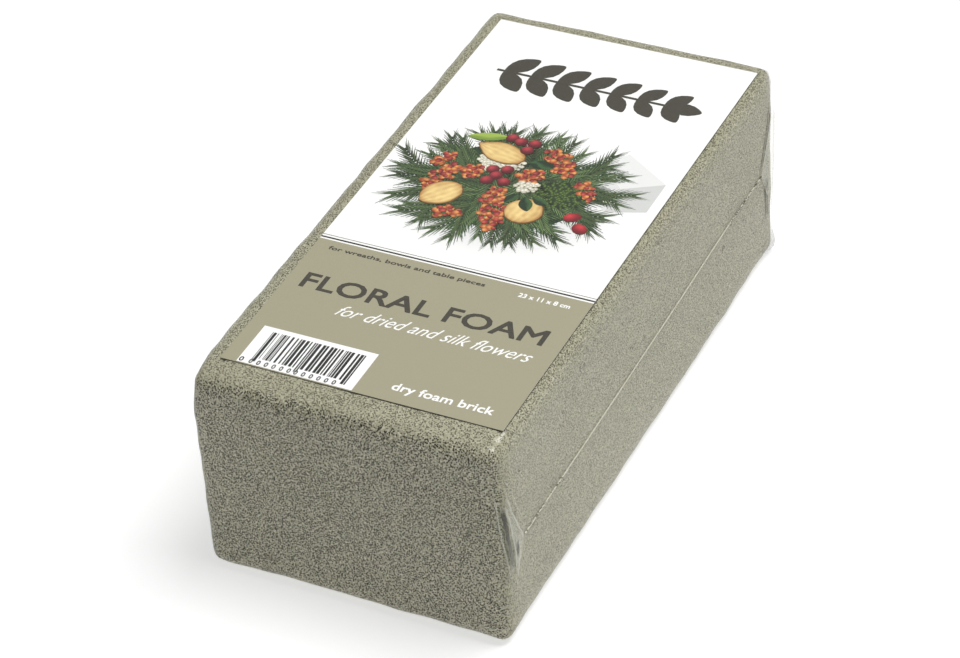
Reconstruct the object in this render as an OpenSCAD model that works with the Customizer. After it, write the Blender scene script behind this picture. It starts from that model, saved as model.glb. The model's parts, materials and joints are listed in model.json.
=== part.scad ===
// A dry floral foam brick with a printed card on top, shrink-wrapped in clear film.
// Millimetres. X runs across the brick, Y along its length from the front end to
// the back end, Z is up. The origin is the middle of the wrapped pack's underside.

/* [Foam brick] */
// Length of the foam, front end to back end
foam_length = 230; // [160:1:300]
// Width of the foam, left side to right side
foam_width = 110; // [105:1:150]
// Height of the foam
foam_height = 80; // [60:1:120]
// Radius of the foam's worn edges and corners
edge_radius = 4; // [2:0.5:8]

/* [Printed card] */
// Length of the card along the brick
card_length = 210; // [100:1:214]
// Width of the card across the brick
card_width = 99; // [60:1:99]
// Thickness of the card
card_thickness = 0.25; // [0.15:0.05:0.5]
// How far the card lies off centre, towards the right side
card_shift_x = 2; // [-2:0.5:2]
// How far the card lies off centre, towards the back end
card_shift_y = 1.8; // [-2:0.1:2]

/* [Shrink film] */
// Modelled thickness of the film (the real film is about 0.02)
film_thickness = 0.3; // [0.2:0.05:0.5]
// Height of the weld where the film's upper and lower leaves meet
weld_height = 40; // [30:1:45]
// Width of the weld bead, up and down the side
weld_width = 1.4; // [0.8:0.1:2]

/* [Corner ears] */
// Height of the gathered film at each upright edge
ear_height = 38; // [20:1:44]
// How far an ear reaches along the long side
ear_reach = 12; // [8:1:20]
// How far an ear reaches round onto the end face
ear_wrap = 6; // [5:0.5:10]
// How far an ear stands out from the film
ear_proud = 0.9; // [0.5:0.1:1.5]

/* [Hidden] */

// Facets of the circle at each rounded edge
edge_facets = 48;
// A weld bead's facets
bead_facets = 32;
// Anything that only has to reach past the pack
past = 20;

foam_size = [foam_width, foam_length, foam_height];
foam_middle = [0, 0, film_thickness + foam_height / 2];
foam_top = film_thickness + foam_height;
card_place = [card_shift_x - card_width / 2, card_shift_y - card_length / 2, foam_top];
right_side = foam_width / 2 + film_thickness;
back_end = foam_length / 2 + film_thickness;
bead_radius = weld_width / 2;
long_bead = foam_length - 2 * ear_reach;
short_bead = foam_width - 2 * ear_wrap;
// Half the height of an ear's knot, where its pleats run together at the weld
knot_half = 2.5;

// A bar of the given outline, its four long edges rounded, standing along Z
module rounded_bar(outline, length, radius) {
    linear_extrude(height = length, center = true)
        union() {
            square([outline.x - 2 * radius, outline.y], center = true);
            square([outline.x, outline.y - 2 * radius], center = true);
            for (x = [-1, 1], y = [-1, 1])
                translate([x * (outline.x / 2 - radius), y * (outline.y / 2 - radius)])
                    circle(r = radius, $fn = edge_facets);
        }
}

// The foam's outer shape, grown outwards by the same amount on every side:
// what three rounded bars, one along each axis, have in common
module rounded_block(grow) {
    size = foam_size + 2 * grow * [1, 1, 1];
    radius = edge_radius + grow;
    translate(foam_middle)
        intersection() {
            rounded_bar([size.x, size.y], size.z, radius);
            rotate([90, 0, 0])
                rounded_bar([size.x, size.z], size.y, radius);
            rotate([90, 0, 90])
                rounded_bar([size.y, size.z], size.x, radius);
        }
}

module card_blank(grow) {
    translate(card_place - grow * [1, 1, 0])
        cube([card_width + 2 * grow, card_length + 2 * grow, card_thickness + grow]);
}

// The half space above or below the weld, where one leaf of the film lies
module leaf_space(upper) {
    reach = foam_size + 2 * past * [1, 1, 1];
    translate([-reach.x / 2, -reach.y / 2, upper ? weld_height : weld_height - reach.z])
        cube(reach);
}

module foam_block() {
    color("#A8A594")
        rounded_block(0);
}

module label_card() {
    color("#F7F6F1")
        card_blank(0);
}

module film_upper() {
    color([0.85, 0.87, 0.88, 0.3])
        difference() {
            union() {
                intersection() {
                    rounded_block(film_thickness);
                    leaf_space(true);
                }
                card_blank(film_thickness);
            }
            rounded_block(0);
            card_blank(0);
        }
}

module film_lower() {
    color([0.85, 0.87, 0.88, 0.3])
        difference() {
            intersection() {
                rounded_block(film_thickness);
                leaf_space(false);
            }
            rounded_block(0);
        }
}

// A half-round bead along +Y, centred on the origin, standing out towards +X
module weld_bead(length) {
    intersection() {
        rotate([90, 0, 0])
            cylinder(r = bead_radius, h = length, center = true, $fn = bead_facets);
        translate([0, -length, -past])
            cube([past, 2 * length, 2 * past]);
    }
}

module weld_bead_right() {
    color("#D9DADA")
        translate([right_side, 0, weld_height])
            weld_bead(long_bead);
}

module weld_bead_left() {
    color("#D9DADA")
        mirror([1, 0, 0])
            translate([right_side, 0, weld_height])
                weld_bead(long_bead);
}

module weld_bead_back() {
    color("#D9DADA")
        translate([0, back_end, weld_height])
            rotate([0, 0, 90])
                weld_bead(short_bead);
}

// The outline of an ear unrolled onto the long side: tall at the upright edge,
// where it runs on round the corner, and drawn together at its knot
module ear_outline() {
    polygon([
        [-past, ear_height / 2],
        [edge_radius, ear_height / 2],
        [ear_reach, knot_half],
        [ear_reach, -knot_half],
        [edge_radius, -ear_height / 2],
        [-past, -ear_height / 2]
    ]);
}

// The front right ear: a skin over the film, kept to the ear's own outline
module corner_ear() {
    color("#DCDDDD")
        intersection() {
            difference() {
                rounded_block(film_thickness + ear_proud);
                rounded_block(film_thickness);
            }
            translate([foam_width / 2 - ear_wrap, -foam_length / 2, weld_height])
                rotate([90, 0, 90])
                    linear_extrude(height = past)
                        ear_outline();
        }
}

module ear_front_right() {
    corner_ear();
}

module ear_front_left() {
    mirror([1, 0, 0])
        corner_ear();
}

module ear_back_right() {
    mirror([0, 1, 0])
        corner_ear();
}

module ear_back_left() {
    mirror([1, 0, 0])
        mirror([0, 1, 0])
            corner_ear();
}

foam_block();
label_card();
film_upper();
film_lower();
weld_bead_right();
weld_bead_left();
weld_bead_back();
ear_front_right();
ear_front_left();
ear_back_right();
ear_back_left();
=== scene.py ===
# %% [markdown]
# # A shrink-wrapped floral foam brick
#
# The real thing is a block of dry, crumbly foam with a printed card on top, closed in clear film
# that a hot tunnel has pulled tight. The imported model already fixes every size and place, so this
# file only makes the looks. It starts by loading that model and keeping its box.

# %% Load the frame
import json
import math
import random

import bpy
from mathutils import Matrix, Vector, noise

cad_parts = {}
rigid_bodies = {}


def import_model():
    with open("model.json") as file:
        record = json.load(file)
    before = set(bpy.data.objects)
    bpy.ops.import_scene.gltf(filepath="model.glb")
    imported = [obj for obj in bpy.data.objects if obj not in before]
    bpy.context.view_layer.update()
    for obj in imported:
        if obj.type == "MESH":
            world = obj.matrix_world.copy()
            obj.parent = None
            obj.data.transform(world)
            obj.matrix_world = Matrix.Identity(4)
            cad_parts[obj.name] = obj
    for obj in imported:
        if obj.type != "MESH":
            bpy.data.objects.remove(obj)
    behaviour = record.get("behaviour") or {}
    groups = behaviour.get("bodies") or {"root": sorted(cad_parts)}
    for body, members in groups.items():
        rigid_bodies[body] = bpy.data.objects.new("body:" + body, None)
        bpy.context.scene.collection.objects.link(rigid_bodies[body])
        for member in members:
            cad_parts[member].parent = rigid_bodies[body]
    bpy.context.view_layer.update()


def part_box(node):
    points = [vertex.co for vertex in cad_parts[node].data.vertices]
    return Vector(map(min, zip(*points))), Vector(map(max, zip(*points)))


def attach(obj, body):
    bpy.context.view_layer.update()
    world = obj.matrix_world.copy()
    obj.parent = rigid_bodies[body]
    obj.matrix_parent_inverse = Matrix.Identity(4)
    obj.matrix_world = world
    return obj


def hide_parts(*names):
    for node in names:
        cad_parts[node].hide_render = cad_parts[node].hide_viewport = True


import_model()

MM = 0.001
foam_low, foam_high = (Vector(corner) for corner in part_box("foam_block"))
card_low, card_high = (Vector(corner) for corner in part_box("label_card"))
foam_size = foam_high - foam_low
card_size = card_high - card_low
print("foam in mm:", [round(side / MM, 1) for side in foam_size])
print("card in mm:", [round(side / MM, 2) for side in card_size])

# %% [markdown]
# ## Camera
#
# A long lens held above one corner shows the top, the front end and the right side at once. Its
# turn, height and small roll are set as three plain rotations, one after the other, which is easier
# to read than one set of mixed angles.

# %% Place the camera
CAMERA_PLACE = Vector((0.4193, -0.8104, 0.7402))
CAMERA_TURN = math.radians(27.83)
CAMERA_HEIGHT = math.radians(37.86)
CAMERA_ROLL = math.radians(-3.98)
CAMERA_LENS = 126.8

camera_data = bpy.data.cameras.new("camera")
camera_data.lens = CAMERA_LENS
camera = bpy.data.objects.new("camera", camera_data)
bpy.context.scene.collection.objects.link(camera)
turn = Matrix.Rotation(CAMERA_TURN, 4, "Z")
tip = Matrix.Rotation(math.pi / 2 - CAMERA_HEIGHT, 4, "X")
roll = Matrix.Rotation(CAMERA_ROLL, 4, "Z")
camera.matrix_world = Matrix.Translation(CAMERA_PLACE) @ turn @ tip @ roll
bpy.context.scene.camera = camera
print("camera", round(CAMERA_PLACE.length, 2), "m from the pack")

# %% [markdown]
# ## Floor
#
# The pack stands on a plain pale floor that glows a little, as a light table does. A floor that is
# only painted white would have to be lit so strongly that the pack's own colours would wash out.

# %% Floor
FLOOR_SIZE = 60
FLOOR_GREY = 0.45
FLOOR_GLOW = 0.6

bpy.ops.object.select_all(action="DESELECT")
bpy.ops.mesh.primitive_plane_add(size=FLOOR_SIZE, location=(0, 0, 0))
floor = bpy.context.object
floor.name = "studio_floor"
floor_paint = bpy.data.materials.new("studio_floor")
floor_paint.use_nodes = True
floor_shader = floor_paint.node_tree.nodes["Principled BSDF"]
floor_shader.inputs["Base Color"].default_value = (FLOOR_GREY, FLOOR_GREY, FLOOR_GREY, 1)
floor_shader.inputs["Roughness"].default_value = 0.9
floor_shader.inputs["Emission Color"].default_value = (1, 1, 1, 1)
floor_shader.inputs["Emission Strength"].default_value = FLOOR_GLOW
floor.data.materials.append(floor_paint)
print("floor", FLOOR_SIZE, "m wide")

# %% [markdown]
# ## Room and lamp
#
# A big soft lamp, overhead and to the right, lights the top and the right side. The front end turns
# away from it and sees only the floor and the dim room, which is why it is the darkest face. The
# Standard view keeps colours as they are given, with nothing pressed down in the highlights.

# %% Room and lamp
ROOM_LIGHT = 0.26
LAMP_PLACE = (0.6, 0.25, 2.1)
LAMP_SIZE = 1.0
LAMP_POWER = 45

room = bpy.data.worlds.new("room")
room.use_nodes = True
room.node_tree.nodes["Background"].inputs["Color"].default_value = (1, 1, 1, 1)
room.node_tree.nodes["Background"].inputs["Strength"].default_value = ROOM_LIGHT
bpy.context.scene.world = room
bpy.context.scene.view_settings.view_transform = "Standard"


def lamp(name, place, size, power):
    """Adds a square soft lamp that looks at the middle of the pack."""
    data = bpy.data.lights.new(name, "AREA")
    data.size = size
    data.energy = power
    made = bpy.data.objects.new(name, data)
    made.location = place
    aim = Vector((0, 0, foam_size.z / 2)) - Vector(place)
    made.rotation_euler = aim.to_track_quat("-Z", "Y").to_euler()
    bpy.context.scene.collection.objects.link(made)
    return made


lamp("key_lamp", LAMP_PLACE, LAMP_SIZE, LAMP_POWER)
print("lamp of", LAMP_POWER, "W at", LAMP_PLACE)

# %% [markdown]
# ## Shader sums
#
# A finish is easier to read as a formula than as a web of nodes. `Wire` holds one output of a node,
# and adding or multiplying wires adds the Math nodes behind the scenes. The reflected forms let a
# plain number stand on the left, as in 1 - mask.


# %% Wires
class Wire:
    """One node output that can be written in sums."""

    def __init__(self, finish, socket):
        self.finish = finish
        self.socket = socket

    def __add__(self, other):
        return self.finish.maths("ADD", self, other)

    def __sub__(self, other):
        return self.finish.maths("SUBTRACT", self, other)

    def __rsub__(self, other):
        return self.finish.maths("SUBTRACT", other, self)

    def __mul__(self, other):
        return self.finish.maths("MULTIPLY", self, other)

    __radd__ = __add__
    __rmul__ = __mul__


print("wires can be added, subtracted and multiplied")

# %% [markdown]
# ## Finishes
#
# `Finish` makes a material and adds every other node through one method, which takes the node's
# type, its settings and its inputs. The short methods below it name the nodes that are used often.
# All patterns read the piece's own Object coordinates, so they stay put when the piece moves.


# %% Finishes
class Finish:
    """A procedural material, built node by node."""

    def __init__(self, name):
        self.material = bpy.data.materials.new(name)
        self.material.use_nodes = True
        self.tree = self.material.node_tree
        self.tree.nodes.clear()
        self.place = self.node("ShaderNodeTexCoord", output="Object")

    def node(self, kind, settings=None, inputs=None, output=0):
        """Adds a node, with its settings first and then the values or wires of its sockets."""
        made = self.tree.nodes.new(kind)
        for setting, value in (settings or {}).items():
            setattr(made, setting, value)
        for socket, value in (inputs or {}).items():
            if isinstance(value, Wire):
                self.tree.links.new(value.socket, made.inputs[socket])
            else:
                made.inputs[socket].default_value = value
        return Wire(self, made.outputs[output])

    def maths(self, operation, first, second=0.0):
        return self.node("ShaderNodeMath", {"operation": operation}, {0: first, 1: second})

    def grain(self, scale, detail=2.0):
        """A soft random field from 0 to 1, scale being its cells per metre."""
        inputs = {"Vector": self.place, "Scale": scale, "Detail": detail}
        return self.node("ShaderNodeTexNoise", None, inputs)

    def cells(self, scale):
        """How far each point is from the middle of its cell."""
        inputs = {"Vector": self.place, "Scale": scale}
        return self.node("ShaderNodeTexVoronoi", None, inputs)

    def ramp(self, value, low, high):
        """Turns low to 0 and high to 1, evenly between and flat beyond."""
        inputs = {"Value": value, "From Min": low, "From Max": high}
        return self.node("ShaderNodeMapRange", None, inputs)

    def mix(self, share, first, second):
        """Blends two colours."""
        settings = {"data_type": "RGBA", "clamp_factor": True}
        return self.node("ShaderNodeMix", settings, {0: share, 6: first, 7: second}, output=2)

    def bump(self, height, distance, strength=1.0):
        """Relief from a height field; distance is how tall a height of 1 is."""
        inputs = {"Height": height, "Distance": distance, "Strength": strength}
        return self.node("ShaderNodeBump", None, inputs)

    def attribute(self, name, output="Fac"):
        """A value or colour that the mesh itself carries."""
        return self.node("ShaderNodeAttribute", {"attribute_name": name}, output=output)

    def surface(self, inputs):
        return self.node("ShaderNodeBsdfPrincipled", None, inputs)

    def over_nothing(self, share, shader):
        """A see-through surface: share of the light meets the shader, the rest goes through."""
        nothing = self.node("ShaderNodeBsdfTransparent")
        return self.node("ShaderNodeMixShader", None, {0: share, 1: nothing, 2: shader})

    def done(self, shader):
        result = self.tree.nodes.new("ShaderNodeOutputMaterial")
        self.tree.links.new(shader.socket, result.inputs["Surface"])
        return self.material


def shade(red, green, blue):
    """A colour given as it looks on a screen, from 0 to 255, in the linear form shaders use."""
    def linear(value):
        value = value / 255
        return value / 12.92 if value <= 0.04045 else ((value + 0.055) / 1.055) ** 2.4
    return (linear(red), linear(green), linear(blue), 1)


print("shader helpers ready")

# %% [markdown]
# ## Modelling helpers
#
# Every piece starts as a primitive and is then shaped with the edit-mode operators. Operators act
# on whatever is selected, so the selection is always cleared first and set in code.


# %% Adding, placing and selecting
def add(operator, name, scale=(1, 1, 1), **settings):
    """Adds one primitive with nothing else selected, names it and sets its size."""
    if bpy.context.object and bpy.context.object.mode != "OBJECT":
        bpy.ops.object.mode_set(mode="OBJECT")
    bpy.ops.object.select_all(action="DESELECT")
    operator(**settings)
    bpy.context.object.name = name
    bpy.context.object.scale = scale
    return bpy.context.object


def take(*pieces):
    """Selects these pieces only; the first one is the active one."""
    bpy.ops.object.select_all(action="DESELECT")
    for piece in pieces:
        piece.select_set(True)
    bpy.context.view_layer.objects.active = pieces[0]


def settle(piece):
    """Moves a piece's place, turn and scale into its mesh."""
    take(piece)
    bpy.ops.object.transform_apply(location=True, rotation=True, scale=True)
    return piece


def pick(piece, kind, wanted):
    """Goes into edit mode with only the wanted VERT, EDGE or FACE elements selected."""
    take(piece)
    bpy.ops.object.mode_set(mode="EDIT")
    bpy.ops.mesh.select_mode(type=kind)
    bpy.ops.mesh.select_all(action="DESELECT")
    bpy.ops.object.mode_set(mode="OBJECT")
    mesh = piece.data
    elements = {"VERT": mesh.vertices, "EDGE": mesh.edges, "FACE": mesh.polygons}[kind]
    for element in elements:
        element.select = bool(wanted(element))
    bpy.ops.object.mode_set(mode="EDIT")


def leave_edit():
    bpy.ops.object.mode_set(mode="OBJECT")


def modify(piece, kind, **settings):
    """Adds a modifier, sets it and applies it."""
    take(piece)
    added = piece.modifiers.new(kind.lower(), kind)
    for setting, value in settings.items():
        setattr(added, setting, value)
    bpy.ops.object.modifier_apply(modifier=added.name)
    return piece


print("modelling helpers ready")

# %% [markdown]
# ## The foam's finish
#
# Dry foam is a mass of burst bubbles. Two layers of small dark cells give the pores, whose dark is
# painted shade inside the open cells, a soft grain gives the dust between them, and a slow mottling
# keeps the block from looking like paint. On the end faces the pores are painted darker and the
# dust lighter: painted shade in the pores and painted highlight on the grain.

# %% Foam finish
PORE_CELLS = 1650
FINE_CELLS = 3100
DUST_GRAIN = 1500
END_SHADING_FROM = 3.2 * MM
END_SHADING_FULL = 1.2 * MM


def foam_finish():
    """Greige foam; the masks run from 0 to 1 and `dark` is how much of the colour is painted pore
    shade.
    """
    finish = Finish("dry_foam")
    slow = finish.ramp(finish.grain(24, 3), 0.35, 0.65)
    tint = finish.ramp(finish.grain(70, 2), 0.4, 0.62)
    dust = finish.ramp(finish.grain(DUST_GRAIN, 2), 0.42, 0.64)
    pores = 1 - finish.ramp(finish.cells(PORE_CELLS), 0.3, 0.45)
    fine = 1 - finish.ramp(finish.cells(FINE_CELLS), 0.2, 0.55)
    along = finish.node("ShaderNodeSeparateXYZ", None, {0: finish.place}, output=1)
    far_out = finish.maths("ABSOLUTE", along)
    # ends: on the end faces the pores get more painted shade and the grain more painted highlight.
    ends = finish.ramp(far_out, foam_size.y / 2 - END_SHADING_FROM, foam_size.y / 2 - END_SHADING_FULL)
    # pit: painted shade inside the pressed pits.
    pit = finish.attribute("pit")
    depth = 0.62 + 0.5 * ends
    dark = (pores + fine * 0.3) * depth + pit * (0.1 + 0.2 * ends)
    base = finish.mix(slow, shade(167, 164, 138), shade(175, 172, 147))
    base = finish.mix(tint * 0.3, base, shade(163, 165, 136))
    base = finish.mix(dust * (0.35 + 0.3 * ends), base, shade(238, 233, 210))
    # The dark colour is painted shade inside the pores and pits.
    colour = finish.mix(dark, base, shade(26, 24, 12))
    height = dust * 0.35 - dark
    relief = finish.bump(height, 0.4 * MM)
    inputs = {"Base Color": colour, "Roughness": 0.95, "Normal": relief, "Specular IOR Level": 0.2}
    return finish.done(finish.surface(inputs))


foam_material = foam_finish()
print("foam finish has", len(foam_material.node_tree.nodes), "nodes")

# %% [markdown]
# ## The foam block
#
# The block begins as a cube of the right size with its edges bevelled. A voxel remesh then covers
# it in even little faces, fine enough to be shaped like real foam: the faces become a little wavy,
# the edges are worn, and one corner is rubbed rounder.

# %% Blank
EDGE_ROUND = 4.6 * MM
FOAM_VOXEL = 1.15 * MM

foam_middle = (foam_low + foam_high) / 2


def block_blank(name, voxel):
    """A rounded block of the foam's size, covered in even faces."""
    blank = add(bpy.ops.mesh.primitive_cube_add, name, size=1, location=foam_middle, scale=foam_size)
    settle(blank)
    pick(blank, "EDGE", lambda edge: True)
    bpy.ops.mesh.bevel(offset=EDGE_ROUND, segments=5, profile=0.5, affect="EDGES")
    leave_edit()
    modify(blank, "REMESH", mode="VOXEL", voxel_size=voxel, adaptivity=0)
    return blank


print("blank's edges are rounded by", round(EDGE_ROUND / MM, 1), "mm")

# %% [markdown]
# ## Wear
#
# Wear only ever goes inwards, so the worn block stays inside its true size. It is written as a
# formula of the place alone, because the film has to follow the same hollows later.


# %% Worn shape
WAVE_DEPTH = 0.45 * MM
WAVES = 22
WEAR_DEPTH = 1.1 * MM
WEAR_REACH = 9 * MM
WEAR_CHIPS = 95
RUBBED_CORNER = Vector((foam_low.x, foam_low.y, foam_high.z))
RUBBED_REACH = 17 * MM
RUBBED_DEPTH = 2 * MM


def edge_nearness(point):
    """0 in the middle of a face and 1 on an edge, where two of the three gaps are nothing."""
    gaps = sorted(foam_size[axis] / 2 - abs(point[axis] - foam_middle[axis]) for axis in range(3))
    return max(0.0, 1 - gaps[1] / WEAR_REACH)


def push(piece, amount):
    """Moves every point along its normal by amount(point); the normals are read beforehand."""
    vertices = piece.data.vertices
    moves = [(vertex.co.copy(), vertex.normal.copy()) for vertex in vertices]
    for vertex, (point, normal) in zip(vertices, moves):
        vertex.co = point + amount(point) * normal
    return piece


def wear_depth(point):
    """How far the face has sunk at a point: slow waves, uneven chips along the edges, and one
    corner that is rubbed rounder than the rest."""
    wave = (noise.noise(point * WAVES) + 1) / 2
    chip = (noise.noise(point * WEAR_CHIPS + Vector((7, 3, 1))) + 1) / 2
    rubbed = max(0.0, 1 - (point - RUBBED_CORNER).length / RUBBED_REACH)
    return -WAVE_DEPTH * wave - WEAR_DEPTH * edge_nearness(point) * chip - RUBBED_DEPTH * rubbed


def wear(piece):
    """Makes the faces slightly wavy and the edges uneven, always inwards."""
    return push(piece, wear_depth)


foam = wear(block_blank("foam_brick", FOAM_VOXEL))
print("foam blank has", len(foam.data.vertices), "points")

# %% [markdown]
# ## Pits in the foam
#
# Here and there a bigger bubble has burst. Points are chosen at random from a fixed seed and pushed
# in by Shrink/Fatten, the larger pits together with their neighbours. The same points are written
# to an attribute, so that the finish can paint shade inside each pit exactly where it is.

# %% Press the pits in
PIT_DEPTH = 0.75 * MM
SMALL_PITS = 500
WIDE_PITS = 60
chance = random.Random(23)


def press(piece, chosen, depth, widen):
    """Pushes the chosen points in, with their neighbours if the pit is a wide one."""
    pick(piece, "VERT", lambda vertex: vertex.index in chosen)
    if widen:
        bpy.ops.mesh.select_more()
    bpy.ops.transform.shrink_fatten(value=-depth)
    leave_edit()


small_pits = set(chance.sample(range(len(foam.data.vertices)), SMALL_PITS))
wide_pits = set(chance.sample(range(len(foam.data.vertices)), WIDE_PITS))
press(foam, small_pits, PIT_DEPTH, False)
press(foam, wide_pits, PIT_DEPTH / 2, True)
press(foam, wide_pits, PIT_DEPTH, False)

# Each pit's mark sets how much painted shade the foam finish lays inside it.
pit_shade_marks = foam.data.attributes.new("pit", "FLOAT", "POINT")
for index in small_pits:
    pit_shade_marks.data[index].value = 0.8
for index in wide_pits:
    pit_shade_marks.data[index].value = 1.0
take(foam)
bpy.ops.object.shade_smooth()
print("pits pressed:", len(small_pits), "small and", len(wide_pits), "wide")

# %% [markdown]
# ## Handing a piece over
#
# A finished piece needs its finish, the body that it moves with, and the nodes of the plain model
# that it takes the place of. One helper sees to all three, so that none is forgotten. Nothing on this
# pack moves, so every piece rides on the root.


# %% Dress the foam
def dress(piece, material, slot, *nodes):
    """Gives a piece its finish, the body it rides on and the nodes it stands for; its slot is not
    used.
    """
    piece.data.materials.clear()
    piece.data.materials.append(material)
    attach(piece, "root")
    if nodes:
        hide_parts(*nodes)
    print(piece.name, len(piece.data.polygons), "faces")
    return piece


dress(foam, foam_material, "foam", "foam_block")

# %% [markdown]
# ## The film's finish
#
# Clear film shows itself only by what it mirrors. It is almost invisible face on and veils the foam
# where it is seen aslant, so its share of mirrored light grows with the slant. A faint haze and a
# slow ripple are all that is added. Where it hangs loose it is creased, and so milkier.

# %% Film finish
FILM_GLOSS = 0.28
FILM_HAZE = 0.025
FILM_CREASED = 0.8


def film_finish():
    finish = Finish("clear_film")
    ripple = finish.grain(160, 3)
    relief = finish.bump(ripple, 0.25 * MM, 0.5)
    loose = finish.attribute("loose")
    aslant = finish.node("ShaderNodeLayerWeight", output="Facing")
    share = aslant * aslant * aslant * FILM_GLOSS + FILM_HAZE + loose * FILM_CREASED
    colour = finish.mix(loose, (0.93, 0.93, 0.91, 1), shade(176, 175, 166))
    inputs = {"Base Color": colour, "Metallic": 1.0, "Roughness": 0.24, "Normal": relief}
    return finish.done(finish.over_nothing(share, finish.surface(inputs)))


film_material = film_finish()
print("film finish has", len(film_material.node_tree.nodes), "nodes")

# %% [markdown]
# ## The film
#
# The film hugs the worn block, so it is made from the same blank, worn by the same formula, only on
# coarser faces: film bridges small pits. It is swollen by the film's clearance, lifted over the
# card and eased off the block at two corners where it has not shrunk tight. The real film is far
# thinner than any wall worth modelling, so it stays one closed skin, which stands for the upper and
# the lower leaf together.

# %% Film over foam and card
FILM_VOXEL = 2.3 * MM
FILM_CLEAR = 0.35 * MM
CARD_CLEAR = 0.42 * MM


def over_card(vertex):
    """True for the film's points that lie over the card."""
    x, y, z = vertex.co
    across = card_low.x - FILM_VOXEL < x < card_high.x + FILM_VOXEL
    along = card_low.y - FILM_VOXEL < y < card_high.y + FILM_VOXEL
    return across and along and z > foam_high.z - EDGE_ROUND


def slack(piece, middle, reach, rise):
    """Lifts the film off the block round one point, where it has not shrunk tight, and marks it."""
    marks = piece.data.attributes["loose"].data
    for vertex, mark in zip(piece.data.vertices, marks):
        share = max(0.0, 1 - (vertex.co - middle).length / reach) ** 2
        mark.value = max(mark.value, share)
    return push(piece, lambda point: rise * max(0.0, 1 - (point - middle).length / reach) ** 2)


film = wear(block_blank("film_wrap", FILM_VOXEL))
push(film, lambda point: FILM_CLEAR)
for vertex in film.data.vertices:
    if over_card(vertex):
        vertex.co.z = card_high.z + CARD_CLEAR
film.data.attributes.new("loose", "FLOAT", "POINT")
slack(film, Vector((foam_high.x, foam_high.y, 4 * MM)), 13 * MM, 3 * MM)
slack(film, Vector((foam_high.x, foam_high.y, foam_high.z - 6 * MM)), 10 * MM, 0.8 * MM)
take(film)
bpy.ops.object.shade_smooth()
dress(film, film_material, "film", "film_upper", "film_lower")

# %% [markdown]
# ## The weld
#
# The hot wire that cuts and seals the film leaves a fine bead of melted plastic. To find its path, a
# copy of the film is cut by Bisect along the weld, which climbs slightly towards the back end. The
# cut edge becomes a curve with a round section. Bisect leaves a point where it is when it lies
# within the threshold of the cut, so the test for the cut edge reaches just as far, or the bead
# would have gaps. The front end has no bead, because the film is folded there.

# %% The weld's path
BEAD_RADIUS = 0.24 * MM
BEAD_STAND = 0.12 * MM
EAR_ROOM = 14 * MM
WELD_MIDDLE = Vector((0, 0, 39.4 * MM))
WELD_CLIMB = 0.021
CUT_SNAP = 0.05 * MM
CUT_REACH = 1.01 * CUT_SNAP


def twin(piece, name):
    """A copy of a piece with its own mesh."""
    copy = piece.copy()
    copy.data = piece.data.copy()
    copy.name = name
    bpy.context.scene.collection.objects.link(copy)
    return copy


def on_cut(vertex):
    """True for points on the film's cut edge, away from the front end and the corners."""
    point = vertex.co
    height = WELD_MIDDLE.z + WELD_CLIMB * point.y
    level = abs(point.z - height) < CUT_REACH
    on_side = abs(point.y) < foam_size.y / 2 - EAR_ROOM
    on_back = point.y > 0 and abs(point.x) < foam_size.x / 2 - EAR_ROOM / 2
    return level and (on_side or on_back)


def weld_line(name, belongs):
    """A bead along the part of the cut edge for which belongs(point) is true."""
    strip = twin(film, name)
    pick(strip, "FACE", lambda face: True)
    bpy.ops.mesh.bisect(
        plane_co=WELD_MIDDLE, plane_no=(0, -WELD_CLIMB, 1), clear_outer=True, threshold=CUT_SNAP,
    )
    leave_edit()
    pick(strip, "VERT", lambda vertex: not (on_cut(vertex) and belongs(vertex.co)))
    bpy.ops.mesh.delete(type="VERT")
    leave_edit()
    take(strip)
    bpy.ops.object.convert(target="CURVE")
    strip.data.bevel_depth = BEAD_RADIUS
    strip.data.bevel_resolution = 2
    strip.data.use_fill_caps = True
    bpy.ops.object.convert(target="MESH")
    for vertex in strip.data.vertices:
        outwards = Vector((vertex.co.x / foam_size.x, vertex.co.y / foam_size.y))
        axis = 0 if abs(outwards.x) > abs(outwards.y) else 1
        vertex.co[axis] += math.copysign(BEAD_STAND, vertex.co[axis])
    bpy.ops.object.shade_smooth()
    return strip


print("weld runs", round(WELD_MIDDLE.z / MM, 1), "mm above the table")

# %% [markdown]
# ## The weld's finish and its three beads
#
# Melted film sets milky white. Near the corners the film was drawn in while it was still soft, so
# the bead is puckered there, which shows as small dark gaps of painted shade along a pale line.

# %% Weld beads
PUCKERS = 1000
PUCKERED_FROM = 0.3
PUCKERED_FULL = 0.31


def bead_finish():
    """Milky melted plastic; near the corners it is puckered, with dark specks of painted shade in the
    puckers.
    """
    finish = Finish("weld_bead")
    melt = finish.ramp(finish.grain(800, 2), 0.3, 0.7)
    along = finish.node("ShaderNodeSeparateXYZ", None, {0: finish.place}, output=1)
    far_out = finish.maths("ABSOLUTE", along)
    near_end = finish.ramp(far_out, foam_size.y * PUCKERED_FROM, foam_size.y * PUCKERED_FULL)
    speck = finish.ramp(finish.grain(PUCKERS, 1), 0.51, 0.57)
    share = 0.8 + near_end * 0.1
    colour = finish.mix(melt, shade(194, 192, 175), shade(214, 212, 197))
    # The dark specks near the corners are painted shade in the puckers.
    colour = finish.mix(near_end * speck, colour, shade(86, 84, 68))
    inputs = {"Base Color": colour, "Roughness": 0.4}
    return finish.done(finish.over_nothing(share, finish.surface(inputs)))


bead_material = bead_finish()
SIDE_LINE = foam_size.x / 2 - EDGE_ROUND


def along_side(point):
    """True for points between the two ears of a side."""
    return abs(point.y) < foam_size.y / 2 - EAR_ROOM


beads = {
    "right": lambda point: point.x > SIDE_LINE and along_side(point),
    "left": lambda point: point.x < -SIDE_LINE and along_side(point),
    "back": lambda point: point.y > foam_size.y / 2 - EDGE_ROUND,
}
for side, belongs in beads.items():
    bead = weld_line("weld_line_" + side, belongs)
    dress(bead, bead_material, "weld", "weld_bead_" + side)
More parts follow.
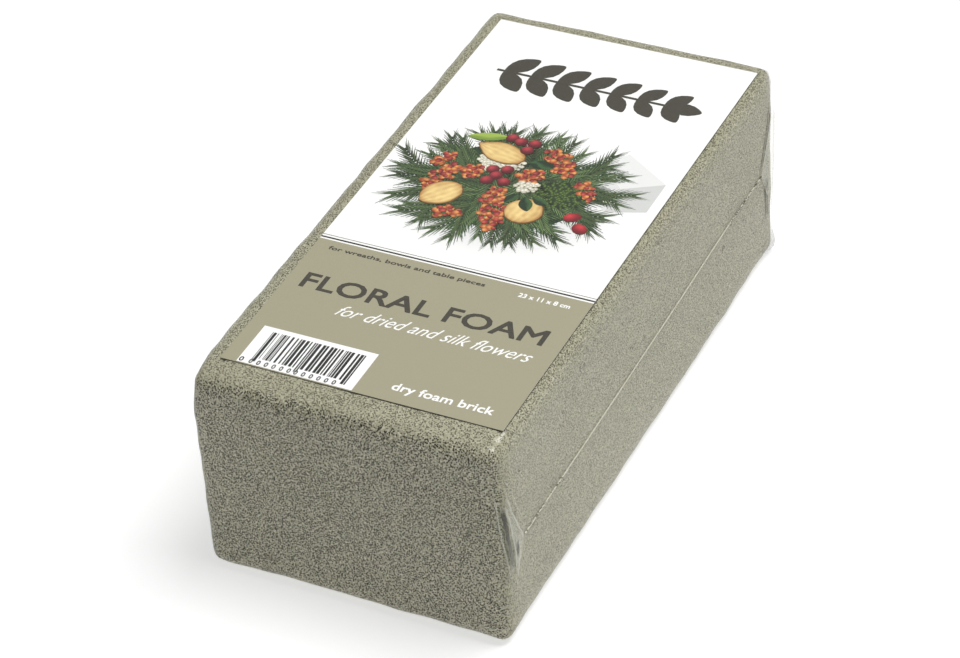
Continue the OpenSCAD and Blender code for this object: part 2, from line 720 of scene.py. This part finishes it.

# %% [markdown]
# ## The corner ears
#
# At each upright edge the tunnel draws the film's spare corner into an almond of pleats that ends
# in a knot at the weld. The ear is a fine grid wrapped round the corner by a formula: one way is the
# distance round the corner, the other is the height. Pleats are drawn on it as bent lines that
# become narrow bright ridges, partly milky film and partly painted highlight. Between them lie dark
# slits of painted shade, where the film stands open, and veils, where it lies double.

# %% Round the corner
FILM_HALF = Vector((foam_size.x / 2 + FILM_CLEAR, foam_size.y / 2 + FILM_CLEAR, 0))
ARC = math.pi / 2 * EDGE_ROUND
GRID_ROUND = 130
GRID_UP = 60


def round_corner(distance, stand):
    """A point and its normal on the front right corner. The distance grows from the end's face
    round onto the side, and where the side turns flat it equals the distance from the end."""
    past_arc = distance - EDGE_ROUND
    turned = min(0.0, max(-math.pi / 2, past_arc / ARC * math.pi / 2))
    normal = Vector((math.cos(turned), math.sin(turned), 0))
    middle = Vector((FILM_HALF.x - EDGE_ROUND, -FILM_HALF.y + EDGE_ROUND, 0))
    point = middle + normal * (EDGE_ROUND + stand)
    if past_arc > 0:
        point.y += past_arc
    if past_arc < -ARC:
        point.x += past_arc + ARC
    return point, normal


def bent(line, height):
    """How far round the corner a line of (distance, height) points is at one height, in
    millimetres, and how strong it is there, from 0 at its ends to 1."""
    for (far_up, up), (far_down, down) in zip(line, line[1:]):
        if down <= height <= up:
            share = (height - down) / (up - down)
            wobble = 0.35 * noise.noise(Vector((height * 0.3, up, 0)))
            strength = min(1.0, (line[0][1] - height) / 5, (height - line[-1][1]) / 5)
            return far_down + (far_up - far_down) * share + wobble, strength
    return 0.0, 0.0


print("corner arc is", round(ARC / MM, 1), "mm long")

# %% [markdown]
# ## One ear
#
# The same grid serves every corner, mirrored by the signs of `side` and `end`. Each point of it
# learns how near it is to the pleats, the slits and the veils. A pleat lifts it a little, and two
# attributes carry to the finish the whiteness, partly a painted highlight, and the darkness, which
# is painted shade.


# %% Pleated ears
def ear(name, side, end, shape, shift):
    """A pleated ear; side and end are 1 or -1 and say at which corner it sits, and shift is how far
    it has slipped along the side, in millimetres."""
    piece = add(
        bpy.ops.mesh.primitive_grid_add, name, size=1,
        x_subdivisions=GRID_ROUND, y_subdivisions=GRID_UP, location=(0.5, 0.5, 0),
    )
    settle(piece)
    milk_and_glint = piece.data.attributes.new("milk_and_glint", "FLOAT", "POINT")
    slit_shade = piece.data.attributes.new("slit_shade", "FLOAT", "POINT")
    points = [point for line, strength, width in shape["pleats"] for point in line]
    first = min(point[0] for point in points) - 3
    last = max(point[0] for point in points) + 2
    low = min(point[1] for point in points) - 1
    high = max(point[1] for point in points) + 1
    for vertex in piece.data.vertices:
        distance = first + (last - first) * vertex.co.x
        height = low + (high - low) * vertex.co.y
        streak = (noise.noise(Vector((distance * 2.4, height * 0.16, side + 2 * end))) + 1) / 2
        # A pleat's whiteness is partly milky film and partly a painted highlight.
        white = 0.0
        for line, bright, width in shape["pleats"]:
            middle, strength = bent(line, height)
            white = max(white, bright * strength * math.exp(-((distance - middle) / width) ** 2))
        # The slits' darkness is painted shade where the film stands open.
        dark = 0.0
        for line, width in shape["slits"]:
            middle, strength = bent(line, height)
            open_wide = math.exp(-((distance - middle) / width) ** 4)
            dark = max(dark, strength * (0.6 + 0.8 * streak) * open_wide)
        veil = 0.0
        for near, far in shape["veils"]:
            (start, strength), (stop, other_strength) = bent(near, height), bent(far, height)
            if start < distance < stop:
                veil = 0.34 * (0.4 + 1.2 * streak) * min(strength, other_strength)
        milk_and_glint.data[vertex.index].value = max(white, veil * (1 - dark))
        slit_shade.data[vertex.index].value = min(1.0, dark) * (1 - white)
        rise = (0.65 * white + 0.3 * veil) * MM
        point, normal = round_corner((distance + shift) * MM, 0.1 * MM + rise)
        point.z = height * MM
        vertex.co = Vector((side * point.x, end * -point.y, point.z))
    if side * end > 0:
        pick(piece, "FACE", lambda face: True)
        bpy.ops.mesh.flip_normals()
        leave_edit()
    take(piece)
    bpy.ops.object.shade_smooth()
    return piece


def ear_finish():
    """Film that is white on its pleats, partly milky and partly a painted highlight, dark with painted
    shade in its slits, and clear elsewhere.
    """
    finish = Finish("gathered_film")
    milk_and_glint = finish.attribute("milk_and_glint")
    slit_shade = finish.attribute("slit_shade")
    # Painted shade darkens the slits; the pleats' white is partly a painted highlight.
    share = milk_and_glint * 0.9 + slit_shade * 0.8
    colour = finish.mix(slit_shade * 1.4 - milk_and_glint, shade(222, 222, 208), shade(44, 41, 26))
    inputs = {"Base Color": colour, "Roughness": 0.2}
    return finish.done(finish.over_nothing(share, finish.surface(inputs)))


ear_material = ear_finish()
print("ear finish ready")

# %% [markdown]
# ## The four ears
#
# A front ear is a broad almond whose knot lies 13 mm along the side. A back ear is longer and
# narrower. Every line is a row of places, each the distance round the corner and the height, in
# millimetres, from the top down. A pleat also has its brightness and width, and a slit its width.
# On the left side the ears have slipped a little further along.

# %% Four ears
outer_fold = [(3, 64), (6, 54), (10, 45), (13, 38.5), (11, 35), (9, 30), (7.5, 24)]
inner_fold = [(2.6, 60), (4.6, 50), (6.6, 39), (7.2, 33), (7.4, 27)]
front_shape = {
    "pleats": [
        (outer_fold, 1.0, 0.3),
        (inner_fold, 0.85, 0.28),
        ([(-0.5, 66), (0.5, 50), (2.2, 38), (4, 25)], 0.5, 0.26),
        ([(7, 62), (10.5, 52), (13.2, 45)], 0.4, 0.24),
    ],
    "slits": [
        ([(1.8, 60), (3.4, 46), (4.6, 38), (5.6, 29)], 0.95),
        ([(9.4, 42), (9, 31)], 1.1),
    ],
    "veils": [(inner_fold, outer_fold)],
}
long_fold = [(5, 68), (8, 58), (11.5, 50), (15.5, 42), (12, 35), (8, 26)]
end_fold = [(3.5, 66), (3.8, 50), (4.5, 44), (5.2, 34), (6.4, 19)]
back_shape = {
    "pleats": [
        (long_fold, 0.5, 0.3),
        (end_fold, 0.55, 0.3),
        ([(4.6, 47), (9, 44.5), (15, 42)], 0.8, 0.4),
        ([(8, 42), (9.5, 37), (8.2, 29)], 0.5, 0.3),
    ],
    "slits": [
        ([(5.6, 69), (8.8, 58), (12.3, 50), (16.3, 42.5)], 0.5),
        ([(10.6, 40), (10.3, 32), (9.2, 18)], 0.7),
    ],
    "veils": [(end_fold, long_fold)],
}
SLIPPED = 6
ears = {
    "front_right": (1, -1, front_shape, 0),
    "front_left": (-1, -1, front_shape, SLIPPED),
    "back_right": (1, 1, back_shape, 0),
    "back_left": (-1, 1, back_shape, SLIPPED),
}
for corner, (side, end, shape, shift) in ears.items():
    piece = ear("pleats_" + corner, side, end, shape, shift)
    dress(piece, ear_material, "gathered_film", "ear_" + corner)


# %% [markdown]
# ## The printed card
#
# The card is a third of a sheet of office paper, lying loose under the film. It is a flat grid, and
# Solidify gives it its thickness. Its cut edge is painted greyer than its face, which is coated white,
# as shade along the card's edge.

# %% Card
def card_finish():
    """White coated board whose cut edge is painted greyer than its face, as shade along the card's
    edge.
    """
    finish = Finish("coated_card")
    fibre = finish.ramp(finish.grain(2400, 3), 0.3, 0.7)
    cloud = finish.ramp(finish.grain(60, 2), 0.35, 0.65)
    height = finish.node("ShaderNodeSeparateXYZ", None, {0: finish.place}, output=2)
    face = finish.ramp(height, card_high.z - 0.06 * MM, card_high.z - 0.02 * MM)
    colour = finish.mix(fibre * 0.5 + cloud * 0.3, shade(254, 254, 252), shade(249, 249, 246))
    # The side walls below the face get a grey-brown that is painted shade along the card's edge.
    colour = finish.mix(face, shade(112, 108, 94), colour)
    relief = finish.bump(fibre, 0.01 * MM)
    inputs = {"Base Color": colour, "Roughness": 0.45 + fibre * 0.1, "Normal": relief}
    return finish.done(finish.surface(inputs))


card_material = card_finish()
card = add(
    bpy.ops.mesh.primitive_grid_add, "printed_card", size=1, x_subdivisions=24, y_subdivisions=50,
    location=(card_low.x + card_size.x / 2, card_low.y + card_size.y / 2, card_high.z),
    scale=(card_size.x, card_size.y, 1),
)
settle(card)
modify(card, "SOLIDIFY", thickness=card_size.z, offset=-1)
dress(card, card_material, "card", "label_card")

# %% [markdown]
# ## Ink
#
# All printing is laid on the card as flat shapes in layers a fiftieth of a millimetre apart, so
# every printed edge is crisp and every colour is its own. Shapes that overlap get heights of their
# own, because two faces in one place shade each other black. Each shape carries its colour in a
# point attribute called `ink`, and one finish prints them all.

# %% Ink finish
INK_STEP = 0.02 * MM
printed = []


def ink_finish():
    """Dull ink with a trace of paper showing through."""
    finish = Finish("printed_ink")
    ink = finish.attribute("ink", "Color")
    speck = finish.ramp(finish.grain(3800, 1), 0.35, 0.75)
    colour = finish.mix(speck * 0.04, ink, shade(250, 250, 248))
    inputs = {"Base Color": colour, "Roughness": 0.4 + speck * 0.1}
    return finish.done(finish.surface(inputs))


ink_material = ink_finish()
print("ink finish ready")

# %% [markdown]
# ## Laying ink
#
# These few helpers lay ink on the card. Places and sizes are in millimetres, counted from the
# card's front left corner, x across it and y towards the back end.


# %% Ink helpers
def on_card(x, y, layer):
    """The place of a point of the print, in a layer counted up from the card."""
    return Vector((card_low.x + x * MM, card_low.y + y * MM, card_high.z + layer * INK_STEP))


def keep(piece):
    """Adds a shape to the print."""
    printed.append(piece)
    return piece


def ink(piece, colour):
    """Colours a piece; colour is one colour, or a function of a point of the piece."""
    marks = piece.data.color_attributes.new("ink", "FLOAT_COLOR", "POINT")
    for vertex, mark in zip(piece.data.vertices, marks.data):
        mark.color = colour(vertex.co) if callable(colour) else colour
    return piece


def tone(piece, factor):
    """Makes a copy's ink lighter or darker."""
    for mark in piece.data.color_attributes["ink"].data:
        red, green, blue, solid = mark.color
        mark.color = (red * factor, green * factor, blue * factor, solid)
    return piece


def lay(piece, x, y, layer, turn=0.0, size=(1.0, 1.0)):
    """Puts a piece, modelled round the origin in its real size, at its place on the card."""
    spin = Matrix.Rotation(math.radians(turn), 4, "Z")
    stretch = Matrix.Diagonal((size[0], size[1], 1, 1))
    piece.matrix_world = Matrix.Translation(on_card(x, y, layer)) @ spin @ stretch
    return keep(piece)


print("a layer of ink is", round(INK_STEP / MM, 3), "mm")

# %% [markdown]
# ## Bars, faces and discs
#
# Three kinds of shape print everything but the lettering: upright bars, four-cornered faces, and
# discs whose ink can run from a lit spot to a darker rim.


# %% Bars, faces and discs
def bar(x, y, width, height, layer, colour):
    """A printed rectangle from its lower left corner."""
    piece = add(
        bpy.ops.mesh.primitive_plane_add, "bar", size=1,
        location=on_card(x + width / 2, y + height / 2, layer),
        scale=(width * MM, height * MM, 1),
    )
    return keep(ink(piece, colour))


def quad(corners, layer, colour):
    """A printed four-cornered face."""
    piece = add(bpy.ops.mesh.primitive_plane_add, "quad", size=1)
    settle(piece)
    for vertex, (x, y) in zip(piece.data.vertices, corners):
        vertex.co = on_card(x, y, layer)
    return keep(ink(piece, colour))


def disc(radius, points, colour, inner=0.5):
    """A round blob of ink round the origin, with a ring inside so that its shade can fall off."""
    piece = add(
        bpy.ops.mesh.primitive_circle_add, "disc", vertices=points, radius=radius * MM,
        fill_type="NGON",
    )
    pick(piece, "FACE", lambda face: True)
    bpy.ops.mesh.inset(thickness=radius * (1 - inner) * MM)
    bpy.ops.mesh.poke()
    leave_edit()
    return ink(piece, colour)


def fade(middle, rim, radius, light=(0.0, 0.0)):
    """A colour that runs from a lit spot out to the rim."""
    spot = Vector((light[0], light[1], 0)) * radius * MM

    def colour(point):
        share = min(1.0, (Vector((point.x, point.y, 0)) - spot).length / (radius * MM))
        return tuple(a + (b - a) * share for a, b in zip(middle, rim))
    return colour


OLIVE = shade(64, 61, 50)
BLACK = shade(18, 18, 16)
BAND = shade(164, 159, 133)
WHITE = shade(254, 254, 252)
print("bars, faces and discs ready")

# %% [markdown]
# ## Band, rules and bar code
#
# A beige band covers the front third. Above it run a white gap, a heavy dark rule and a thin grey
# line. The bar code holds bars of random widths over a row of noughts, so it says nothing. Its two
# outer bars at each end and the two in the middle reach lower, as guard bars do.

# %% Plain shapes
BAND_TOP = 68.4
CODE_BOX = (5.5, 0.4, 41, 19.3)
CODE_BARS = 59
CODE_MIDDLE = CODE_BARS // 2
CODE_GUARDS = (0, 2, CODE_MIDDLE - 1, CODE_MIDDLE + 1, CODE_BARS - 3, CODE_BARS - 1)
CODE_START = 4.2
CODE_SPAN = 33.5
CODE_HEAD = 17.2
GUARD_FOOT = 1.6
BAR_FOOT = 3.4

STRIPES = (
    (0, BAND_TOP, BAND),
    (69.1, 0.75, shade(40, 38, 34)),
    (70.7, 0.3, shade(120, 118, 112)),
)

for foot, height, colour in STRIPES:
    bar(0, foot, card_size.x / MM, height, 1, colour)
bar(*CODE_BOX, 2, WHITE)
widths = [chance.choice((1, 1, 1, 2, 2, 3, 4)) for number in range(CODE_BARS)]
unit = CODE_SPAN / sum(widths)
x = CODE_BOX[0] + CODE_START
for number, width in enumerate(widths):
    if number % 2 == 0:
        foot = GUARD_FOOT if number in CODE_GUARDS else BAR_FOOT
        bar(x, CODE_BOX[1] + foot, width * unit, CODE_HEAD - foot, 3, BLACK)
    x += width * unit
print(len(printed), "plain shapes")

# %% [markdown]
# ## Lettering
#
# The card says in plain words what the thing is and how big it is. Text objects are turned into
# meshes, and each line is then stretched into the box that it has on the card. Bold lines are struck
# several times, each a little to one side and a little higher, which is how a typewriter does it:
# an outline that is swollen instead would lie over itself in the sharp corners.


# %% Plain words and figures
def words(text, x, y, width, height, layer, colour, bold=0.0, lean=0.0):
    """One line of lettering, fitted into a box on the card."""
    line = add(bpy.ops.object.text_add, "words")
    line.data.body = text
    line.data.shear = lean
    line.data.resolution_u = 3
    take(line)
    bpy.ops.object.convert(target="MESH")
    line = bpy.context.object
    corners = [vertex.co for vertex in line.data.vertices]
    low = Vector((min(c.x for c in corners), min(c.y for c in corners), 0))
    high = Vector((max(c.x for c in corners), max(c.y for c in corners), 0))
    for vertex in line.data.vertices:
        share = vertex.co - low
        vertex.co.x = share.x / (high.x - low.x) * (width - bold) * MM
        vertex.co.y = share.y / (high.y - low.y) * (height - bold) * MM
    ink(line, colour)
    strikes = ((1, 0), (0, 1), (1, 1)) if bold else ()
    for number, (right, up) in enumerate(strikes):
        lay(twin(line, "words"), x + right * bold, y + up * bold, layer + 0.2 * (number + 1))
    return lay(line, x, y, layer)


words("FLORAL FOAM", 5.5, 42.2, 87, 8.1, 2, OLIVE, 0.42)
words("for dried and silk flowers", 23.5, 33, 69, 5.4, 2, WHITE, 0, 0.5)
words("for wreaths, bowls and table pieces", 5.4, 63.1, 57, 2.5, 2, OLIVE, 0.14)
words("23 x 11 x 8 cm", 74.6, 62.9, 18.2, 2.2, 2, WHITE, 0.16)
words("dry foam brick", 57.6, 4.2, 35, 4.9, 2, WHITE, 0.2)
words("0", 5.9, 0.8, 1.5, 2.2, 4, BLACK, 0.12)
for start in (9.4, 25.4):
    words("0  0  0  0  0  0", start, 0.8, 14.8, 2.2, 4, BLACK, 0.12)
print(len(printed), "shapes with the lettering")

# %% [markdown]
# ## Emblem
#
# The head of the card carries a plain sprig in dark olive. One pointed leaf is made from a circle
# whose sides are drawn in towards its two tips. Copies of it, each pair a little smaller than the
# last, stand along a bar, and one more closes its end.

# %% Sprig
LEAF_PAIRS = 7


def leaf(length, width, colour):
    """A pointed leaf from the origin along +X."""
    piece = disc(length / 2, 16, colour, 0.6)
    for vertex in piece.data.vertices:
        along = vertex.co.x / (length / 2 * MM)
        vertex.co.y *= width / length * (1 - 0.45 * along * along)
        vertex.co.x += length / 2 * MM
    return piece


sprig_leaf = leaf(13, 7.4, OLIVE)
for pair in range(LEAF_PAIRS):
    along = pair / (LEAF_PAIRS - 1)
    for tilt in (48, -48):
        copy = twin(sprig_leaf, "sprig_leaf")
        lay(copy, 15.5 + 61 * along, 180, 2 + 0.1 * pair, tilt, (1.08 - 0.22 * along,) * 2)
lay(twin(sprig_leaf, "sprig_leaf"), 78, 180, 2.9, 0, (0.95, 0.95))
bar(12.5, 179.4, 70, 1.2, 3, OLIVE)
bpy.data.objects.remove(sprig_leaf)
print(len(printed), "shapes with the emblem")

# %% [markdown]
# ## The printed picture: fir twigs
#
# The picture shows what the foam is for, a table arrangement of fir, berries and dried pods. A
# twig is one needle pair repeated by an Array modifier along a stem, a long dark row with a short
# light row on it. It is then drawn in towards its tip and bent a little, with each needle moved
# by noise, so that it looks grown. The noise gets a fixed seed, because its vectors would differ
# from run to run without one.

# %% Rows of needles
TWIG_PAIRS = 13
TWIG_STEP = 1.6
TWIG_LENGTH = TWIG_PAIRS * TWIG_STEP
NEEDLE_TIP = 0.2


def join(name, pieces):
    """Makes one piece of several."""
    take(*pieces)
    bpy.ops.object.join()
    bpy.context.object.name = name
    return bpy.context.object


def needle_row(length, width, angle, root, tip, lift):
    """Needle pairs all along the twig."""
    sides = []
    for way in (1, -1):
        needle = add(
            bpy.ops.mesh.primitive_plane_add, "needle", size=1,
            location=(length / 2 * MM, 0, 0), scale=(length * MM, width * MM, 1),
        )
        settle(needle)
        for vertex in needle.data.vertices:
            if vertex.co.x > length / 2 * MM:
                vertex.co.y *= NEEDLE_TIP
        ink(needle, lambda point: tip if point.x > length / 2 * MM else root)
        needle.rotation_euler.z = way * math.radians(angle)
        needle.location.z = lift * INK_STEP
        sides.append(settle(needle))
    row = join("needle_row", sides)
    step = (TWIG_STEP * MM, 0, 0)
    return modify(
        row, "ARRAY", count=TWIG_PAIRS, use_relative_offset=False,
        use_constant_offset=True, constant_offset_displace=step,
    )


print("a twig is", round(TWIG_LENGTH, 1), "mm long")

# %% One fir twig
NEEDLE_JITTER = 700
NEEDLE_SEED = 23

long_row = needle_row(6.4, 0.78, 50, shade(12, 26, 14), shade(56, 88, 46), 0)
short_row = needle_row(4.8, 0.6, 36, shade(34, 58, 30), shade(140, 166, 104), 0.03)
stem = add(
    bpy.ops.mesh.primitive_plane_add, "stem", size=1,
    location=(TWIG_LENGTH / 2 * MM, 0, 0.015 * INK_STEP), scale=(TWIG_LENGTH * MM, 0.5 * MM, 1),
)
settle(stem)
ink(stem, shade(84, 74, 50))
twig = join("twig", [long_row, short_row, stem])
noise.seed_set(NEEDLE_SEED)
for vertex in twig.data.vertices:
    along = min(1.0, max(0.0, vertex.co.x / (TWIG_LENGTH * MM)))
    jitter = noise.noise_vector(vertex.co * NEEDLE_JITTER)
    vertex.co.x += 0.7 * abs(vertex.co.y) * along + 0.5 * MM * jitter.x
    vertex.co.y *= 1 - 0.4 * along ** 2
    vertex.co.y += 1.6 * MM * math.sin(along * 2.2) + 0.3 * MM * jitter.y
print("a twig has", len(twig.data.polygons), "faces")

# %% [markdown]
# ## The printed picture: the ring of fir
#
# Twigs are laid in four oval rings, from the outermost and lowest to the innermost and highest.
# Each points outwards, more or less, and has its own size and shade. Under them lie a soft shadow,
# a pale block of foam that peeps out at the right, and a dark disc that closes the gaps.

# %% Ring of fir
BOUQUET = (46, 117)
BOUQUET_HALF = (45, 38)
RINGS = ((26, 0.98, 0.75, 3), (24, 0.86, 0.9, 5), (18, 0.66, 1.1, 7), (10, 0.44, 0.9, 9))
PALE_BLOCK = (
    (((69.5, 140.8), (82, 129.2), (77, 148.7), (95.3, 136.7)), shade(236, 237, 234)),
    (((69.5, 128), (82, 115), (69.5, 140.8), (82, 129.2)), shade(226, 227, 224)),
    (((82, 115), (95.3, 120), (82, 129.2), (95.3, 136.7)), shade(212, 213, 210)),
)

shadow = disc(40, 40, fade(shade(196, 196, 194), WHITE, 40), 0.7)
lay(shadow, 48, 108, 0.5, 0, (1.1, 0.82))
under = disc(30, 40, shade(26, 40, 24), 0.7)
lay(under, *BOUQUET, 2.5, 0, (0.95, 0.8))
for corners, colour in PALE_BLOCK:
    quad(corners, 1.5, colour)
for count, reach, brightness, layer in RINGS:
    for number in range(count):
        angle = 360 * (number + chance.uniform(-0.3, 0.3)) / count
        way = Vector((math.cos(math.radians(angle)), math.sin(math.radians(angle))))
        size = chance.uniform(0.8, 1.1)
        edge = chance.uniform(0.84, 1.0) * reach
        tip_x = BOUQUET[0] + way.x * BOUQUET_HALF[0] * edge
        tip_y = BOUQUET[1] + way.y * BOUQUET_HALF[1] * edge
        lean = angle + chance.uniform(-30, 30)
        back = TWIG_LENGTH * size
        copy = tone(twin(twig, "twig"), brightness * chance.uniform(0.65, 1.3))
        x = tip_x - math.cos(math.radians(lean)) * back
        y = tip_y - math.sin(math.radians(lean)) * back
        lay(copy, x, y, layer + 2 * number / count, lean, (size, size))
bpy.data.objects.remove(twig)
print(len(printed), "shapes with the fir")

# %% [markdown]
# ## The printed picture: fruit, pods and moss
#
# Every round thing is the same disc with its colour running from a lit spot to a darker rim. Small
# discs are scattered in ovals for berry clusters, seed heads and moss: each turns from the last by
# the golden angle, which spreads them as evenly as the seeds of a sunflower. A dried pod is a fine
# grid drawn into a disc, because its ribs and rough skin need more points than a disc has.

# %% Scattering and pods
GOLDEN_TURN = 2.39996
POD_GRID = 26


def scatter(piece, count, x, y, half_long, half_wide, turn, layer):
    """Copies of a disc, strewn over a turned oval, the inner ones lying over the outer ones."""
    for number in range(count):
        reach = math.sqrt((number + 0.5) / count)
        swing = number * GOLDEN_TURN + chance.uniform(-0.3, 0.3)
        along = half_long * reach * math.cos(swing)
        aside = half_wide * reach * math.sin(swing)
        cosine, sine = math.cos(math.radians(turn)), math.sin(math.radians(turn))
        copy = tone(twin(piece, "speck"), chance.uniform(0.75, 1.15))
        size = chance.uniform(0.8, 1.2)
        place_x = x + along * cosine - aside * sine
        place_y = y + along * sine + aside * cosine
        height = layer + 1.5 * (count - number) / count
        lay(copy, place_x, place_y, height, chance.uniform(0, 360), (size, size))


def husk(length, width, point_share):
    """A dried pod: a fine grid drawn into a disc, pointed at one end, with ribs along it."""
    piece = add(
        bpy.ops.mesh.primitive_grid_add, "husk", size=2,
        x_subdivisions=POD_GRID, y_subdivisions=POD_GRID,
    )
    marks = piece.data.color_attributes.new("ink", "FLOAT_COLOR", "POINT")
    light, dark = shade(248, 220, 148), shade(176, 122, 58)
    for vertex, mark in zip(piece.data.vertices, marks.data):
        u, v = vertex.co.x, vertex.co.y
        x = u * math.sqrt(1 - v * v / 2)
        y = v * math.sqrt(1 - u * u / 2)
        out = min(1.0, math.hypot(x, y))
        rib = 0.5 + 0.5 * math.cos(v * 15)
        rough = noise.noise(Vector((x * 4, y * 4, length)))
        share = min(1.0, max(0.0, 0.12 + 0.75 * out ** 6 + 0.22 * (1 - rib) + 0.25 * rough - 0.12 * y))
        mark.color = tuple(a + (b - a) * share for a, b in zip(light, dark))
        narrow = 1 - point_share * max(0.0, x) ** 2
        edge = 1 + 0.05 * rough
        vertex.co = Vector((x * length / 2 * MM * edge, y * narrow * width / 2 * MM * edge, 0))
    return piece


print("scattering and pods ready")

# %% [markdown]
# ## The printed picture: one of each
#
# Each kind of fruit, seed and leaf is drawn once. A leaf is lighter on one half than on the other,
# as if it were folded along its middle.

# %% Models for the picture
orange = disc(1.15, 9, fade(shade(248, 176, 98), shade(168, 74, 40), 1.15, (-0.3, 0.35)))
russet = disc(1.1, 9, fade(shade(214, 92, 74), shade(120, 30, 36), 1.1, (-0.3, 0.35)))
cherry = disc(2.4, 14, fade(shade(206, 70, 78), shade(84, 12, 24), 2.4, (-0.35, 0.4)), 0.45)
seed = disc(0.85, 8, fade(shade(254, 252, 242), shade(196, 190, 162), 0.85))
tuft = disc(0.6, 6, fade(shade(112, 140, 60), shade(44, 66, 26), 0.6))
moss = disc(8.4, 24, fade(shade(46, 66, 28), shade(28, 42, 20), 8.4))
leaf_dark = leaf(9, 5.4, lambda point: shade(58, 92, 50) if point.y > 0 else shade(28, 50, 28))
leaf_light = leaf(15, 4.6, lambda point: shade(162, 186, 78) if point.y > 0 else shade(122, 152, 54))
hip = disc(2.4, 14, fade(shade(222, 60, 66), shade(116, 14, 26), 2.4, (-0.3, 0.4)))
models = [orange, russet, cherry, seed, tuft, leaf_dark, hip]
print(len(models), "models to copy")

# %% [markdown]
# ## The printed picture: filling the ring
#
# The rows below say where everything lies. Leaves: place, turn, size and layer. Berry clusters:
# middle, half length, half width, turn and how many. Pods: place, turn, length, width and how
# pointed. Moss and leaves come lowest, then berries and seeds, then pods and cherries.

# %% Moss, leaves, berries and seeds
MOSS_PLACE = (64.3, 118.3)
LEAVES = ((47, 131.5, 10, 1, 11.5), (27, 116.5, 200, 0.8, 11.6), (57, 131.4, 165, 0.9, 11.7))
BERRIES = (
    (57, 135.5, 9, 4.4, -52, 30), (72, 123.5, 6.6, 2.6, -50, 16), (22, 114, 8.5, 3.8, 68, 28),
    (46.5, 104, 12.5, 4.6, -74, 48), (51, 124.5, 4.6, 4.2, 20, 18), (31, 121, 4.6, 3.4, 70, 16),
    (33, 96.5, 5, 3.2, 20, 14), (19, 124, 5, 2.6, 60, 12),
)
SEEDS = ((36, 126.5), (42.3, 129), (52, 119), (33.5, 129.5))

lay(leaf_light, 20.5, 139, 11.2, 16)
lay(moss, *MOSS_PLACE, 10.8, 0, (1.0, 0.92))
scatter(tuft, 170, *MOSS_PLACE, 8.6, 7.8, 0, 11)
for x, y, turn, size, layer in LEAVES:
    lay(twin(leaf_dark, "leaf_dark"), x, y, layer, turn, (size, size))
for number, (x, y, long, wide, turn, count) in enumerate(BERRIES):
    scatter(orange, count, x, y, long, wide, turn, 12.02 + 0.01 * number)
    scatter(russet, count // 2, x, y, long, wide, turn + 12, 12.5 + 0.01 * number)
for number, (x, y) in enumerate(SEEDS):
    scatter(seed, 30, x, y, 4.1, 3.5, 0, 12.2 + 0.01 * number)
print(len(printed), "shapes with the berries")

# %% Cherries, pods and hips
CHERRIES = (
    (35.8, 143), (39.6, 142), (44.4, 142.4), (43.4, 138), (37.2, 124), (42, 125.4),
    (39.8, 121), (37.8, 117.4), (43.8, 118.4),
)
PODS = (
    (35.4, 134.2, 166, 19, 10.5, 0.75),
    (26.4, 105.5, 232, 15.5, 12, 0.3),
    (57, 106, 80, 13.5, 13, 0.15),
)
POD_LEAVES = ((54, 113, -60, 0.9), (51, 114, -110, 0.7), (57, 113.5, -20, 0.7))
HIPS = ((73.6, 108.3, 30), (78.4, 103.2, -35))
POD_RIM = 0.7

for number, (x, y) in enumerate(CHERRIES):
    lay(twin(cherry, "cherry"), x, y, 14.2 + 0.03 * number, chance.uniform(-20, 20))
for number, (x, y, turn, long, wide, pointed) in enumerate(PODS):
    rim = husk(long + POD_RIM, wide + POD_RIM, pointed)
    lay(tone(rim, 0.28), x + 0.2, y - 0.3, 13.9 + 0.02 * number, turn)
    lay(husk(long, wide, pointed), x, y, 14.05 + 0.02 * number, turn)
for x, y, turn, size in POD_LEAVES:
    lay(twin(leaf_dark, "leaf_dark"), x, y, 14.5 + 0.1 * size, turn, (size, size))
for x, y, turn in HIPS:
    lay(twin(hip, "hip"), x, y, 12.6, turn, (1.3, 1.0))
for model in models:
    bpy.data.objects.remove(model)
print(len(printed), "shapes in all")

# %% [markdown]
# ## The finished print
#
# All the shapes become one mesh. It takes the place of no node of its own, because the plain model
# has only the bare card.

# %% Join the print
card_print = settle(join("card_print", printed))
dress(card_print, ink_material, "card")
top_of_print = max(vertex.co.z for vertex in card_print.data.vertices)
print("print stands", round((top_of_print - card_high.z) / MM, 3), "mm above the card")
